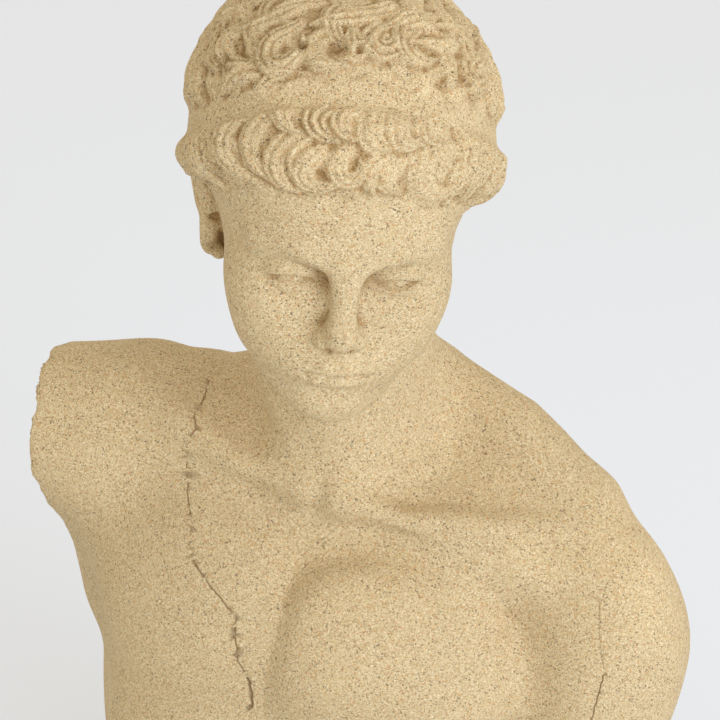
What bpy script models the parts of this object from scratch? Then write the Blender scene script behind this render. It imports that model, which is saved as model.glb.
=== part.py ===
"""A youth's bust in cast stone on a low plinth.

The figure is modelled in sculptor's parts: one part is 1/230 of the head's length from chin to crown,
about a millimetre on a life-size head. The chest faces -Y and the figure's left is +X.
The smooth form is a field of blended masses: negative inside, positive outside. The cells of a lattice
inside it give a rough closed body, which is remeshed and whose points are then moved onto the surface.
Locks of hair are raised on that surface, and the foot is cut off flat.
"""

import math

import bmesh
import bpy
import numpy as np
from mathutils import Euler

# Driving sizes, in metres
HEAD_LENGTH = 0.150
STAND_WIDTH = 0.204
STAND_DEPTH = 0.136
STAND_HEIGHT = 0.045
STAND_EDGE = 0.006
STAND_FOOT = 0.0015
GAP = 0.0003

PART = HEAD_LENGTH / 230

# Pose, in degrees
TORSO_LEAN = 12.0
HEAD_TURN = 25.0
HEAD_BOW = 20.0
HEAD_TILT = 4.5

# Places from the pit of the neck, in parts
EAR_AXIS = (6.5, -6.0, 186.0)
CUT_BELOW_PIT = 272.0
SPARE_BELOW_CUT = 36.0
FOOT_MIDDLE = (-52.0, 45.0)
LATTICE = ((-290, -150, -318), (270, 210, 360))

# Triangles of the bust after thinning
BUST_TRIANGLES = 9000


def turning(x=0.0, y=0.0, z=0.0):
    """The matrix of a turn about X, then Y, then Z, in degrees."""
    return np.array(Euler([math.radians(a) for a in (x, y, z)]).to_matrix())


def join(a, b, blend):
    """The union of two fields, with a fillet that reaches over the blend."""
    reach = np.maximum(blend - np.abs(a - b), 0.0) / blend
    return np.minimum(a, b) - reach * reach * blend / 4


def carve(a, b, blend):
    """Field a with b taken away, with a soft edge."""
    return -join(-a, b, blend)


def length(q):
    return np.sqrt(np.einsum("ij,ij->i", q, q))


def ellipsoid(p, centre, radii, turn=(0.0, 0.0, 0.0)):
    q = p - np.array(centre)
    if any(turn):
        q = q @ turning(*turn)
    radii = np.array(radii)
    near = length(q / radii)
    return near * (near - 1) / np.maximum(length(q / radii**2), 1e-6)


def rod(p, start, end, radius, end_radius=None):
    """A round rod with ball ends that may taper."""
    start, end = np.array(start, float), np.array(end, float)
    along = end - start
    t = np.clip((p - start) @ along / (along @ along), 0, 1)
    end_radius = radius if end_radius is None else end_radius
    return length(p - start - t[:, None] * along) - radius - (end_radius - radius) * t


def bent_rod(p, points, radii):
    """Rods end to end through the points."""
    found = None
    for a, b, ra, rb in zip(points, points[1:], radii, radii[1:]):
        d = rod(p, a, b, ra, rb)
        found = d if found is None else np.minimum(found, d)
    return found


def through(z, heights, values):
    """A smooth curve through the values at the given rising heights."""
    heights, values = np.array(heights, float), np.array(values, float)
    i = np.clip(np.searchsorted(heights, z) - 1, 0, len(heights) - 2)
    step = heights[i + 1] - heights[i]
    t = np.clip((z - heights[i]) / step, 0, 1)
    slope = np.gradient(values, heights)
    return (
        (1 + 2 * t) * (1 - t) ** 2 * values[i]
        + t * (1 - t) ** 2 * step * slope[i]
        + t * t * (3 - 2 * t) * values[i + 1]
        + t * t * (t - 1) * step * slope[i + 1]
    )


def loft(p, stations, square=2.0):
    """A body through flat sections. A station is height, half width, front y, middle y and back y."""
    heights, widths, fronts, middles, backs = np.array(stations, float).T
    z = p[:, 2]
    middle = through(z, heights, middles)
    y = p[:, 1] - middle
    front = middle - through(z, heights, fronts)
    back = through(z, heights, backs) - middle
    depth = np.where(y < 0, front, back)
    width = through(z, heights, widths)
    near = (np.abs(p[:, 0] / width) ** square + np.abs(y / depth) ** square) ** (1 / square)
    near = np.maximum(near, 1e-3)
    return np.hypot(p[:, 0], y) * (1 - 1 / near)


# Head, in its own frame: the origin is midway between the ear holes and the face looks along -Y.
EAR_PLACE = (76, 5, -9)

# Stations of the face's front: height, half width, front y, middle y, back y
FACE = (
    (-99, 13, -82, -66, -54),
    (-92, 24, -91, -62, -42),
    (-82, 34, -95, -50, -20),
    (-68, 45, -94, -32, 10),
    (-52, 54, -96, -20, 30),
    (-35, 61, -96, -13, 40),
    (-15, 68, -93, -8, 50),
    (5, 70, -91, -5, 60),
    (25, 73, -94, -2, 60),
    (45, 75, -93, 0, 60),
    (70, 72, -82, 0, 60),
    (100, 54, -60, 2, 56),
)


def eye(p):
    """Eyeball and lids of the left eye, looking down."""
    q = p - np.array([31.0, -72.5, 10.0])
    r = length(q)
    out = np.arctan2(q[:, 0], -q[:, 1])
    up = np.arctan2(q[:, 2], np.hypot(q[:, 0], q[:, 1]))
    arch = np.clip(1 - (out / 1.15) ** 2, -1, 1)
    upper_edge = np.radians(-13 + 27 * arch + 2 * out)
    lower_edge = np.radians(-12 - 10 * arch + 3 * out)
    ball = r - 14.2
    upper = np.maximum(r - 17.6, (upper_edge - up) * r)
    lower = np.maximum(r - 16.9, (up - lower_edge) * r)
    return join(join(ball, upper, 0.8), lower, 0.8)


def face(p):
    """Skull, jaw and features, with no hair."""
    skull = ellipsoid(p, (-1, 14, 52), (84, 98, 84))
    front = np.maximum(loft(p, FACE, 2.2), np.maximum(-98 - p[:, 2], p[:, 2] - 96))
    d = join(skull, front, 18)
    q = p.copy()
    q[:, 0] = np.abs(q[:, 0])
    # Cheeks, jaw and brow
    d = join(d, ellipsoid(q, (40, -58, -14), (26, 27, 26)), 24)
    d = join(d, ellipsoid(q, (33, -60, -42), (24, 26, 26)), 22)
    d = join(d, rod(q, (20, -66, -76), (46, -14, -52), 15, 17), 18)
    d = join(d, bent_rod(q, ((6, -89, 23), (28, -85, 32), (50, -69, 27)), (7, 7, 6)), 14)
    # Eye sockets and eyes
    d = carve(d, ellipsoid(q, (33, -98, 10), (25, 16, 14)), 10)
    d = carve(d, ellipsoid(q, (15, -93, 9), (6, 8, 8)), 8)
    d = join(d, eye(q), 1.5)
    # Nose
    d = join(d, rod(p, (0, -90, 30), (0, -103, -14), 7.5, 8.0), 10)
    d = join(d, ellipsoid(p, (0, -103, -19), (9, 11, 9)), 8)
    d = join(d, ellipsoid(q, (10.5, -97, -24.5), (5.5, 9, 6)), 5)
    d = join(d, rod(p, (0, -104, -26), (0, -97, -34), 3.5, 5), 4)
    d = carve(d, ellipsoid(q, (5.8, -101.5, -31.5), (2.6, 5, 3.5)), 2.5)
    # Mouth
    d = join(d, ellipsoid(p, (0, -80, -50), (34, 22, 23)), 14)
    d = carve(d, rod(p, (0, -108, -35), (0, -107.5, -42), 2.5, 3.5), 5)
    d = join(d, bent_rod(q, ((0, -100.5, -47), (6.5, -101, -45.5), (22, -92, -50.5)), (4.0, 4.5, 2.2)), 3.5)
    d = join(d, bent_rod(q, ((0, -98.5, -58), (10, -97.5, -57), (20, -92, -53.5)), (6.2, 5.6, 2.4)), 3.5)
    d = carve(d, bent_rod(q, ((0, -107, -51.5), (12, -103.5, -51), (22, -96, -52)), (2.0, 1.9, 1.0)), 2.5)
    # Chin and the hollow over it
    d = join(d, ellipsoid(p, (0, -79, -80), (21, 19, 18)), 14)
    d = carve(d, ellipsoid(p, (0, -107, -67.5), (18, 9, 5)), 10)
    return d


def ear(q):
    """The left ear: plate, hollow, rim, lobe and the flap before its hole."""
    q = q - np.array(EAR_PLACE)
    plate = ellipsoid(q, (0, 0, 0), (8, 17, 30), (-16, 8, 20))
    hollow = ellipsoid(q, (9, -4, -2), (6, 10, 17), (-16, 8, 20))
    d = carve(plate, hollow, 4)
    rim = bent_rod(
        q,
        ((1, -14, 9), (6, -6, 27), (11, 8, 29), (11, 14, 16), (7, 9, -3), (-1, -4, -18), (-6, -12, -25)),
        (2.5, 3.2, 3.4, 3.4, 3.0, 3.3, 4.6),
    )
    d = join(d, rim, 3)
    return join(d, rod(q, (0, -17, -1), (0, -17, -9), 4), 3)


# Hair. The locks are laid out on a ball round the skull, whose pole is the crown's whorl.
HAIR_CENTRE = np.array([0.0, 16.0, 55.0])
HAIR_BALL = 100.0
WHORL_BACK = math.radians(50)
TO_WHORL = np.array([0.0, math.sin(WHORL_BACK), math.cos(WHORL_BACK)])
TO_FRINGE = np.array([0.0, -math.cos(WHORL_BACK), math.sin(WHORL_BACK)])

# Height of the fillet, the band that ties the hair, along the head from front to back
FILLET_ALONG = (-90, -62, -31, 0, 30, 60, 115)
FILLET_HEIGHTS = (165, 127, 86, 58, 40, 30, 22)

# Height of the lower edge of the hair, by degrees round the head from the middle of the forehead
HAIRLINE_ROUND = (0, 20, 40, 55, 68, 78, 88, 100, 112, 125, 145, 180)
HAIRLINE_HEIGHTS = (73, 67, 54, 42, 28, 14, 20, 26, 8, -16, -36, -50)
COVERED_EAR = 12
LEFT_EAR_IN = 9

# Rows of locks: degrees up from the ball's middle, parts between locks, reach, half width, height
LOCK_ROWS = (
    (78, 15, 46, 7.5, 4.0),
    (62, 16, 54, 8.0, 4.6),
    (46, 16, 56, 8.5, 5.0),
    (31, 17, 56, 8.5, 5.5),
    (16, 17, 46, 8.5, 6.0),
    (-31, 16, 30, 8.0, 4.5),
    (-19, 18, 40, 9.5, 6.0),
    (-7, 19, 46, 10.0, 7.5),
)

# Locks that stand out over the forehead and above the fillet:
# degrees round, degrees up, reach, first heading, last heading, half width, height
FRONT_LOCKS = (
    (-46, -9, 66, -80, 44, 9, 5),
    (-31, -7, 79, -70, 56, 10, 7),
    (-22, -11, 66, -72, 50, 8, 6),
    (-11, -10, 53, -118, 72, 9, 7),
    (-20, -19, 48, -58, 57, 8, 7),
    (-14, -20, 42, -58, 59, 7, 6),
    (-12, -23, 48, -42, 105, 8, 7),
    (-4, -24, 40, -36, 204, 7, 7),
    (-5, -9, 42, -68, 70, 8, 7),
    (1, -10, 36, -68, 71, 7, 6),
    (6, -10, 40, -21, 103, 8, 6),
    (13, -10, 34, -18, 115, 8, 6),
    (11, -25, 30, -42, 20, 7, 6),
    (27, -17, 73, -18, 193, 9, 6),
    (22, -11, 30, -13, 119, 8, 5),
    (16, -27, 28, -30, 60, 7, 5),
    (37, -12, 40, 55, 86, 8, 5),
    (37, -20, 38, 82, 52, 8, 5),
    (-35, 22, 36, -30, 40, 8, 5),
    (-24, 21, 70, -48, 185, 9, 8),
    (-10, 18, 44, -46, 95, 9, 7),
    (-41, 24, 50, -70, 30, 8, 6),
    (-32, 3, 42, -83, -63, 8, 5),
    (12, 22, 54, -48, 200, 8, 6),
    (24, 22, 46, -40, 110, 8, 5),
    (32, 20, 38, 33, -52, 8, 5),
    (-4, 18, 26, 11, 151, 7, 6),
    (-19, -1, 38, -78, -74, 8, 4),
)
UNDER_FRONT_LOCKS = 0.3
WEAR_OF_LEFT_FRONT = 0.55

# Drill holes in the curls: degrees round, degrees up, radius, depth
DRILL_HOLES = ((-20.5, 9.4, 3.0, 9), (-1, 9.2, 2.6, 7), (-10, 11, 8.0, 7), (-53, 8, 4.5, 5))


def hairline(p):
    """How far a point is above the lower edge of the hair, in parts. The hair covers the left ear's top."""
    round_head = np.degrees(np.arctan2(np.abs(p[:, 0]), 16 - p[:, 1]))
    edge = through(round_head, HAIRLINE_ROUND, HAIRLINE_HEIGHTS)
    over_ear = np.exp(-(((round_head - 80) / 20) ** 2)) * (p[:, 0] > 0)
    return p[:, 2] - edge + COVERED_EAR * over_ear


def above_fillet(p):
    return (p[:, 2] - through(p[:, 1], FILLET_ALONG, FILLET_HEIGHTS)) * 0.68


def hair_depth(p):
    """Thickness of the smooth hair: fuller at the sides, over the crown and in the roll below the fillet."""
    inside = np.clip(hairline(p) / 30 + 0.2, 0, 1)
    inside = inside * inside * (3 - 2 * inside)
    above = above_fillet(p)
    roll = np.exp(-(((above + 22) / 18) ** 2))
    crown = np.clip((above - 6) / 16, 0, 1)
    side = np.clip(np.abs(p[:, 0]) / 80, 0, 1) ** 2
    return inside * (7 + side + (1.5 + side) * roll + 3 * crown * crown * (3 - 2 * crown))


def chance(number):
    """A fixed scatter from 0 to 1."""
    return math.sin(number * 12.9898 + 4.1) * 43758.5453 % 1


def lock_path(round_pole, up, reach, heading, last_heading):
    """A lock's points on the ball. A heading is in degrees from straight away from the whorl."""
    count = 10
    found = []
    for k in range(count):
        a, b = math.radians(round_pole), math.radians(up)
        flat = math.cos(a) * TO_FRINGE + math.sin(a) * np.array([1.0, 0.0, 0.0])
        found.append(HAIR_BALL * (math.cos(b) * flat + math.sin(b) * TO_WHORL))
        turn = math.radians(heading + (last_heading - heading) * (k / (count - 2)) ** 1.4)
        stride = math.degrees(reach / (count - 1) / HAIR_BALL)
        up -= stride * math.cos(turn)
        round_pole += stride * math.sin(turn) / max(math.cos(math.radians(up)), 0.2)
    return np.array(found)


def unworn(round_pole):
    """The share of a lock's height that is left. The left front of the hair is worn the most."""
    return 1 - WEAR_OF_LEFT_FRONT * math.exp(-(((round_pole - 48) / 34) ** 2))


def all_locks():
    """Every lock as its path, half width and height."""
    found = []
    number = 0
    for up, spacing, reach, width, height in LOCK_ROWS:
        count = round(math.tau * HAIR_BALL * math.cos(math.radians(up)) / spacing)
        for k in range(count):
            number += 1
            a, b, c = chance(number), chance(number + 0.37), chance(number + 0.71)
            place = (k + 0.35 * a) * 360 / count - 180
            side = math.copysign(1, place + 12)
            front = max(0.0, 1 - abs(place) / 110)
            first = -70 * front - side * 25 * (1 - front) + 30 * (b - 0.5)
            last = 40 + 40 * front * c if up < 10 else math.copysign(50 + 45 * b, math.cos(number * 2.4))
            if up < 10 and front == 0:
                last = -side * 35
            under = UNDER_FRONT_LOCKS if -62 < place < 48 and up < 30 else 1
            path = lock_path(place, up + 6 * (c - 0.5), reach * (0.85 + 0.3 * b), first, last)
            found.append((path, width, height * under * unworn(place)))
    for round_pole, up, reach, first, last, width, height in FRONT_LOCKS:
        path = lock_path(round_pole, up, reach, first, last)
        found.append((path, width, height * unworn(round_pole)))
    return found


def locks(p):
    """How far the locks stand out from the smooth hair, in parts."""
    line = hairline(p)
    found = np.zeros(len(p))
    hairy = np.nonzero(line > -12)[0]
    q = p[hairy] - HAIR_CENTRE
    q = q * (HAIR_BALL / length(q))[:, None]
    raised = np.zeros(len(q))
    for path, width, height in all_locks():
        middle = path.mean(0)
        reach = length(path - middle).max() + width
        near = np.nonzero(np.einsum("ij,ij->i", q - middle, q - middle) < reach * reach)[0]
        if not len(near):
            continue
        starts, steps = path[:-1], np.diff(path, axis=0)
        gap = q[near][:, None, :] - starts
        t = np.clip(np.einsum("nkj,kj->nk", gap, steps) / np.einsum("kj,kj->k", steps, steps), 0, 1)
        away = np.linalg.norm(gap - t[:, :, None] * steps, axis=2)
        along = (np.arange(len(steps)) + t) / len(steps)
        wide = width * (0.72 + 0.4 * np.sin(math.pi * along**0.8)) * (1 - 0.7 * along**4)
        across = away / wide
        nearest = across.argmin(1)
        rows = np.arange(len(near))
        across, along = across[rows, nearest], along[rows, nearest]
        tall = height * (0.35 + 0.65 * np.sin(math.pi * (0.12 + 0.76 * along)))
        rise = tall * np.clip(1 - across * across, 0, 1) ** 0.65
        raised[near] = np.maximum(raised[near], rise)
    for round_pole, up, radius, depth in DRILL_HOLES:
        mouth = lock_path(round_pole, up, 1, 0, 0)[0]
        raised -= depth * np.exp(-np.einsum("ij,ij->i", q - mouth, q - mouth) / radius**2)
    band = np.exp(-((above_fillet(p[hairy]) / 9) ** 4))
    found[hairy] = raised * (1 - band) * np.clip(line[hairy] / 20 + 0.6, 0, 1)
    return found


def head(p):
    q = p.copy()
    q[:, 0] = np.where(p[:, 0] > 0, p[:, 0] + LEFT_EAR_IN, -p[:, 0])
    return join(face(p) - hair_depth(p), ear(q), 5)


# Torso, in a frame of its own: the origin is the pit of the neck.
# Stations of the trunk: height, half width, front y, middle y, back y
TRUNK = (
    (-320, 118, -44, 44, 130),
    (-270, 126, -48, 45, 138),
    (-225, 132, -50, 48, 146),
    (-180, 140, -50, 52, 152),
    (-130, 146, -46, 56, 156),
    (-80, 148, -36, 60, 154),
    (-40, 136, -22, 62, 146),
    (-10, 108, -6, 64, 132),
    (15, 66, 12, 66, 112),
)


def chest_half(q, fullness, edge, slope, arch):
    """Muscles of one half, mirrored to the left: breast, flank, shoulder blade, shoulder top, collar bone."""
    d = ellipsoid(q, (74, -14 - fullness, -98), (84, 36, 66), (0, 12, 18))
    d = join(d, ellipsoid(q, (62, -24 - fullness, -122), (62, 26, 46), (0, 6, 12)), 24)
    d = join(d, ellipsoid(q, (127, 84, -170), (34, 54, 158), (0, 4, 0)), 44)
    d = join(d, ellipsoid(q, (84, 118, -72), (62, 34, 74), (0, 0, -12)), 44)
    d = join(d, ellipsoid(q, (92, 50, -16), (100, 60, 36), (0, 6, 0)), 30)
    d = join(d, bent_rod(q, ((34, 80, 52), (92, 72, 31 + arch), (150, 64, slope)), (26, 25, 24)), 44)
    d = carve(d, rod(q, (26, -34, -18), (104, -26, -12), 6, 5), edge)
    collar_bone = bent_rod(q, ((14, -13, -5), (60, -12, -2), (110, 4, 5), (160, 34, 4)), (8, 5, 4, 5))
    return join(d, collar_bone, edge + 4)


def broken(p, size):
    """A rough break's unevenness, in parts."""
    x, y, z = p.T / size
    return (
        np.sin(x * 1.3 + y * 2.1 + 0.4) * np.sin(z * 1.7 - y * 0.8 + 1.1)
        + 0.5 * np.sin(y * 4.3 - z * 2.9 + 2.0) * np.sin(x * 3.1 + z * 4.7)
    )


def left_arm(p):
    """Hangs at the side and is broken off below the shoulder."""
    d = ellipsoid(p, (190, 46, -72), (52, 56, 83), (0, -6, 0))
    d = join(d, rod(p, (194, 48, -70), (208, 50, -260), 46, 40), 22)
    return np.maximum(d, -205 - p[:, 2] + 0.12 * (p[:, 0] - 200) + 3 * broken(p, 16))


def right_arm(p):
    """Held out to the side and broken off close to the shoulder."""
    d = ellipsoid(p, (-176, 48, -46), (74, 54, 52), (0, 10, 0))
    d = join(d, rod(p, (-170, 50, -48), (-330, 62, -72), 50, 46), 24)
    d = join(d, rod(p, (-142, 66, -150), (-180, 62, -72), 36, 36), 34)
    return np.maximum(d, -207 - p[:, 0] - 0.28 * (p[:, 2] + 50) + 3 * broken(p, 18))


def torso(p):
    q = p.copy()
    q[:, 0] = np.abs(q[:, 0])
    d = np.maximum(loft(p, TRUNK, 2.2), p[:, 2] - 14)
    to_left = np.clip(p[:, 0] / 30 + 0.5, 0, 1)
    d = join(d, chest_half(q, 2, 12, 10, 9) * to_left + chest_half(q, -6, 18, -14, -46) * (1 - to_left), 18)
    d = join(d, left_arm(p), 24)
    d = join(d, right_arm(p), 30)
    return carve(d, rod(p, (0, 176, 0), (0, 164, -300), 14), 26)


def to_head(p):
    turn = turning(HEAD_BOW, HEAD_TILT, HEAD_TURN)
    return (p - np.array(EAR_AXIS)) @ turn


def to_torso(p):
    return p @ turning(0, TORSO_LEAN, 0)


def neck(p):
    """From the chest to the skull, in the pit's frame."""
    turn = turning(HEAD_BOW, HEAD_TILT, HEAD_TURN)
    base = np.array(EAR_AXIS) + turn @ np.array([0, 18, -24])
    d = rod(p, (0, 62, -20), base, 60, 54)
    for side in (-1, 1):
        mastoid = np.array(EAR_AXIS) + turn @ np.array([side * 62, 22, -28])
        d = join(d, rod(p, mastoid, (side * 12, -2, 6), 12, 8), 20)
    larynx = np.array(EAR_AXIS) + turn @ np.array([0, -40, -88])
    d = join(d, rod(p, larynx, (4, 8, 20), 18, 14), 30)
    return d


def form(p):
    """The whole figure's field, in parts from the pit of the neck."""
    d = join(torso(to_torso(p)), neck(p), 26)
    d = join(d, head(to_head(p)), 9)
    return np.maximum(d, -CUT_BELOW_PIT - SPARE_BELOW_CUT - p[:, 2])


def gradient(p, reach=0.6):
    """The field's value and slope, from four samples round each point."""
    corners = np.array([[1, 1, 1], [1, -1, -1], [-1, 1, -1], [-1, -1, 1]], float)
    values = [form(p + reach * c) for c in corners]
    slope = sum(v[:, None] * c for v, c in zip(values, corners)) / (4 * reach)
    return sum(values) / 4, slope


def settle(mesh, steps):
    """Moves a mesh's points, in parts, onto the surface of the form with its locks of hair."""
    p = np.empty(len(mesh.vertices) * 3)
    mesh.vertices.foreach_get("co", p)
    p = p.reshape(-1, 3)
    for _ in range(steps):
        d, slope = gradient(p)
        d = d - locks(to_head(p))
        steep = np.maximum(np.einsum("ij,ij->i", slope, slope), 0.2)
        move = slope * (d / steep)[:, None]
        far = length(move)
        p = p - move * np.minimum(1, 12 / np.maximum(far, 1e-9))[:, None]
    mesh.vertices.foreach_set("co", p.ravel())
    mesh.update()


def remeshed(mesh, voxel):
    made = bpy.data.objects.new("clay", mesh)
    bpy.context.scene.collection.objects.link(made)
    remesh = made.modifiers.new("Remesh", "REMESH")
    remesh.mode = "VOXEL"
    remesh.voxel_size = voxel
    graph = bpy.context.evaluated_depsgraph_get()
    result = bpy.data.meshes.new_from_object(made.evaluated_get(graph))
    bpy.data.objects.remove(made)
    return result


def blocked_out(cell):
    """A closed body of cubes, one for each cell of a lattice whose middle is inside the form."""
    low, high = np.array(LATTICE, float)
    counts = np.ceil((high - low) / cell).astype(int)
    middles = [low[i] + cell * (np.arange(counts[i]) + 0.5) for i in range(3)]
    lattice = np.stack(np.meshgrid(*middles, indexing="ij"), -1).reshape(-1, 3)
    solid = np.zeros(counts + 2, bool)
    solid[1:-1, 1:-1, 1:-1] = (form(lattice) < 0).reshape(counts)
    corners = []
    for axis in range(3):
        across, up = np.eye(3, dtype=int)[[(axis + 1) % 3, (axis + 2) % 3]]
        change = np.diff(solid.astype(int), axis=axis)
        for side, order in ((-1, (0, 1, 2, 3)), (1, (3, 2, 1, 0))):
            first = np.argwhere(change == side) + np.eye(3, dtype=int)[axis]
            ring = [first, first + across, first + across + up, first + up]
            corners.append(np.stack([ring[k] for k in order], 1))
    quads = np.concatenate(corners)
    points, index = np.unique(quads.reshape(-1, 3), axis=0, return_inverse=True)
    mesh = bpy.data.meshes.new("blocks")
    mesh.from_pydata((low + cell * (points - 1)).tolist(), [], index.reshape(-1, 4).tolist())
    return mesh


def thinned(mesh, triangles):
    """The mesh with no more than the given number of triangles."""
    made = bpy.data.objects.new("clay", mesh)
    bpy.context.scene.collection.objects.link(made)
    made.modifiers.new("Triangulate", "TRIANGULATE")
    thin = made.modifiers.new("Decimate", "DECIMATE")
    thin.ratio = triangles / (2 * len(mesh.polygons))
    graph = bpy.context.evaluated_depsgraph_get()
    result = bpy.data.meshes.new_from_object(made.evaluated_get(graph))
    bpy.data.objects.remove(made)
    return result


def keep_largest(clay):
    """Takes away every piece of the mesh but the largest."""
    left = set(clay.verts)
    pieces = []
    while left:
        reached = [left.pop()]
        for v in reached:
            for edge in v.link_edges:
                other = edge.other_vert(v)
                if other in left:
                    left.discard(other)
                    reached.append(other)
        pieces.append(reached)
    pieces.sort(key=len)
    loose = [v for piece in pieces[:-1] for v in piece]
    bmesh.ops.delete(clay, geom=loose, context="VERTS")


def material(name, colour):
    made = bpy.data.materials.new(name)
    made.use_nodes = True
    surface = made.node_tree.nodes["Principled BSDF"]
    surface.inputs["Base Color"].default_value = (*colour, 1)
    surface.inputs["Roughness"].default_value = 0.85
    return made


def placed(name, mesh, colour):
    made = bpy.data.objects.new(name, mesh)
    mesh.name = name
    mesh.materials.clear()
    mesh.materials.append(material(name, colour))
    bpy.context.scene.collection.objects.link(made)
    return made


def modelled():
    """The bust's mesh in parts, before it is thinned and cut."""
    mesh = remeshed(blocked_out(6.0), 4.0)
    settle(mesh, 3)
    mesh = remeshed(mesh, 3.0)
    settle(mesh, 3)
    return mesh


def bust():
    mesh = thinned(modelled(), BUST_TRIANGLES)
    clay = bmesh.new()
    clay.from_mesh(mesh)
    foot = STAND_HEIGHT + GAP
    for v in clay.verts:
        v.co.x = (v.co.x - FOOT_MIDDLE[0]) * PART
        v.co.y = (v.co.y - FOOT_MIDDLE[1]) * PART
        v.co.z = (v.co.z + CUT_BELOW_PIT) * PART + foot
    keep_largest(clay)
    whole = clay.verts[:] + clay.edges[:] + clay.faces[:]
    bmesh.ops.bisect_plane(clay, geom=whole, plane_co=(0, 0, foot), plane_no=(0, 0, 1), clear_inner=True)
    rim = [e for e in clay.edges if e.is_boundary]
    bmesh.ops.holes_fill(clay, edges=rim)
    bmesh.ops.triangulate(clay, faces=[f for f in clay.faces if len(f.verts) > 3])
    bmesh.ops.recalc_face_normals(clay, faces=clay.faces)
    clay.to_mesh(mesh)
    clay.free()
    return placed("bust", mesh, (0.66, 0.52, 0.31))


def stand():
    """A plinth with eased edges. Its underside is at the origin."""
    block = bmesh.new()
    bmesh.ops.create_cube(block, size=1)
    for v in block.verts:
        v.co.x *= STAND_WIDTH
        v.co.y *= STAND_DEPTH
        v.co.z = (v.co.z + 0.5) * STAND_HEIGHT
    eased = [e for e in block.edges if max(v.co.z for v in e.verts) > STAND_HEIGHT / 2]
    bmesh.ops.bevel(block, geom=eased, offset=STAND_EDGE, segments=4, profile=0.5, affect="EDGES")
    low = [e for e in block.edges if all(v.co.z < 1e-6 for v in e.verts)]
    bmesh.ops.bevel(block, geom=low, offset=STAND_FOOT, segments=2, profile=0.5, affect="EDGES")
    bmesh.ops.triangulate(block, faces=block.faces)
    bmesh.ops.recalc_face_normals(block, faces=block.faces)
    mesh = bpy.data.meshes.new("stand")
    block.to_mesh(mesh)
    block.free()
    return placed("stand", mesh, (0.64, 0.50, 0.30))


def build():
    for old in list(bpy.data.objects):
        bpy.data.objects.remove(old)
    bust()
    stand()


build()
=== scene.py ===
import math

import bmesh
import bpy
import numpy as np
from mathutils import Euler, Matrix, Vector, noise
from mathutils.bvhtree import BVHTree


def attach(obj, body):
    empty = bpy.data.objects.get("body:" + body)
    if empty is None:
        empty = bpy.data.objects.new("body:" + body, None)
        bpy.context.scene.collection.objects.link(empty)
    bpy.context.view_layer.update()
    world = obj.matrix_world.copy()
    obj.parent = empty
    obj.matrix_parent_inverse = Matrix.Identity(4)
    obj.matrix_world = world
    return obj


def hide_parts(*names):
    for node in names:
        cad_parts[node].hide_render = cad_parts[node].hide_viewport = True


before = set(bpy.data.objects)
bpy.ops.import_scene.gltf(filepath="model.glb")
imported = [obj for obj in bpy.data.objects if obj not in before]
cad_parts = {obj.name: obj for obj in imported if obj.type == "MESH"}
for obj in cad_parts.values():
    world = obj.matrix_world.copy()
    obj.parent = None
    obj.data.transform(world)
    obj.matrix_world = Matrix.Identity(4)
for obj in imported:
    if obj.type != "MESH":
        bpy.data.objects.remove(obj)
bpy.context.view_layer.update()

# Bust
# A youth's head, shoulders and chest, cast in one piece in sand and cement, with both arms broken off.
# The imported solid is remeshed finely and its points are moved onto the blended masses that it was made
# from, with strands, drill holes and cracks. A part is 1/230 of the head's length, and PART is in metres.
HEAD_LENGTH = 0.150
PART = HEAD_LENGTH / 230

# The foot's height in metres, then in parts: its middle, the cut's depth below the pit of the neck, the
# length that is cut off, and the point between the ears
FOOT_HEIGHT = 0.0453
FOOT_MIDDLE = (-52.0, 45.0)
CUT_BELOW_PIT = 272.0
SPARE_BELOW_CUT = 36.0
EAR_AXIS = (6.5, -6.0, 186.0)

# Fineness: the first and last lattice, in parts, how much finer the head's is, the triangles kept, and
# the steps and the longest moves onto the form after each lattice
FIRST_VOXEL = 3.4
LAST_VOXEL = 2.2
HEAD_FINER = 1.1
BUST_TRIANGLES = 170000
SETTLE_STEPS = 2
FIRST_MOVE = 6
LAST_MOVE = 3

# Pose, in degrees
TORSO_LEAN = 12.0
HEAD_TURN = 25.0
HEAD_BOW = 20.0
HEAD_TILT = 4.5


def turning(x=0.0, y=0.0, z=0.0):
    """The matrix of a turn about X, then Y, then Z, in degrees."""
    return np.array(Euler([math.radians(a) for a in (x, y, z)]).to_matrix())


def join(a, b, blend):
    """The union of two fields, with a fillet that reaches over the blend."""
    reach = np.maximum(blend - np.abs(a - b), 0.0) / blend
    return np.minimum(a, b) - reach * reach * blend / 4


def carve(a, b, blend):
    """Field a with b taken away, with a soft edge."""
    return -join(-a, b, blend)


def length(q):
    return np.sqrt(np.einsum("ij,ij->i", q, q))


def ellipsoid(p, centre, radii, turn=(0.0, 0.0, 0.0)):
    q = p - np.array(centre)
    if any(turn):
        q = q @ turning(*turn)
    radii = np.array(radii)
    near = length(q / radii)
    return near * (near - 1) / np.maximum(length(q / radii**2), 1e-6)


def rod(p, start, end, radius, end_radius=None):
    """A round rod with ball ends that may taper."""
    start, end = np.array(start, float), np.array(end, float)
    along = end - start
    t = np.clip((p - start) @ along / (along @ along), 0, 1)
    end_radius = radius if end_radius is None else end_radius
    return length(p - start - t[:, None] * along) - radius - (end_radius - radius) * t


def bent_rod(p, points, radii):
    """Rods end to end through the points."""
    found = None
    for a, b, ra, rb in zip(points, points[1:], radii, radii[1:]):
        d = rod(p, a, b, ra, rb)
        found = d if found is None else np.minimum(found, d)
    return found


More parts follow.
